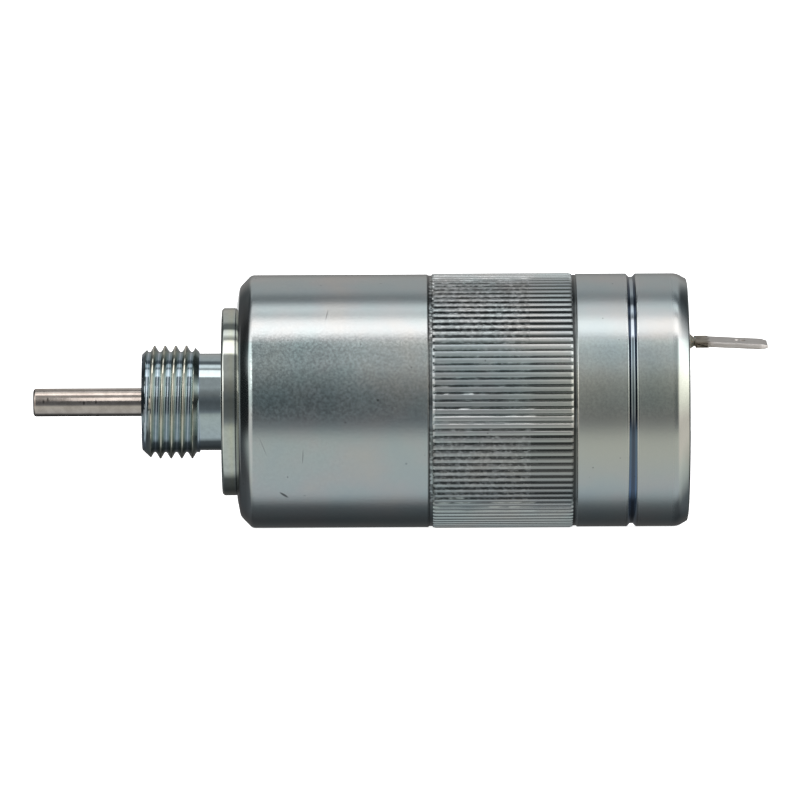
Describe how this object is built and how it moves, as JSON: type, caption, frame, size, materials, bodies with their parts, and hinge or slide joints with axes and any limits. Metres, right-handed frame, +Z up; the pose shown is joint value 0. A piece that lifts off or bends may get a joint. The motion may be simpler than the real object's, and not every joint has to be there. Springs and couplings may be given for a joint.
{
  "type": "tubular solenoid",
  "caption": "Round knurled steel solenoid with a threaded nose, a spring-extended push pin that retracts when energised, and a rear blade terminal.",
  "frame": {"origin": "on the axis, in the front face of the collar, where the solenoid seats", "axes": "+X along the axis from the push pin towards the blade terminal; +Z up, the side of the axis that the terminal is on; +Y completes a right-handed frame"},
  "size_m": [0.1038, 0.036, 0.036],
  "materials": {
    "zinc_plated_case": "blue-clear passivated zinc plate, satin, finely scratched",
    "zinc_plated_nose": "blue-clear to yellowish passivated zinc plate, turned",
    "ground_stainless": "centreless ground and polished stainless steel",
    "sintered_bronze": "oil-filled sintered bronze, matt",
    "nitrile_rubber": "moulded black rubber",
    "bright_steel": "bright steel",
    "spring_steel": "oiled spring steel wire and strip",
    "nylon": "natural nylon",
    "soft_iron": "turned soft magnetic iron",
    "brass": "bright brass",
    "glass_filled_nylon": "black glass-filled nylon, moulded",
    "enamelled_copper": "enamelled copper wire",
    "polyester_tape": "yellow polyester tape",
    "glass_sleeving": "varnished glass-fibre sleeving",
    "vulcanised_fibre": "red vulcanised fibre, matt",
    "phenolic": "brown moulded phenolic",
    "epoxy_resin": "beige-grey poured epoxy resin, satin",
    "tinned_brass": "dull tinned brass"
  },
  "bodies": {
    "housing": {"case": "zinc_plated_case", "threaded_nose": "zinc_plated_nose", "guide_bush": "sintered_bronze", "rod_seal": "nitrile_rubber", "nose_o_ring": "nitrile_rubber", "seal_washer": "bright_steel", "nose_lock_ring": "bright_steel", "disc_spring": "spring_steel", "return_spring": "spring_steel", "stop_washer": "nylon", "front_pole_plate": "soft_iron", "rear_pole": "soft_iron", "guide_tube": "brass", "residual_shim": "brass", "bobbin": "glass_filled_nylon", "coil_winding": "enamelled_copper", "coil_wrap": "polyester_tape", "live_lead": "enamelled_copper", "ground_lead": "enamelled_copper", "lead_sleeve": "glass_sleeving", "rear_insulator": "vulcanised_fibre", "rear_cover": "phenolic", "sealing_resin": "epoxy_resin", "blade_terminal": "tinned_brass", "terminal_rivet": "brass"},
    "plunger": {"push_pin": "ground_stainless", "pin_clip": "spring_steel", "armature": "soft_iron"}
  },
  "joints": [
    {"name": "plunger_slide", "type": "slide", "parent": "housing", "child": "plunger", "axis": [1, 0, 0], "range_m": [0, 0.01], "stiffness_N_per_m": 600, "springref_m": -0.0057, "deforming": ["return_spring"]}
  ]
}
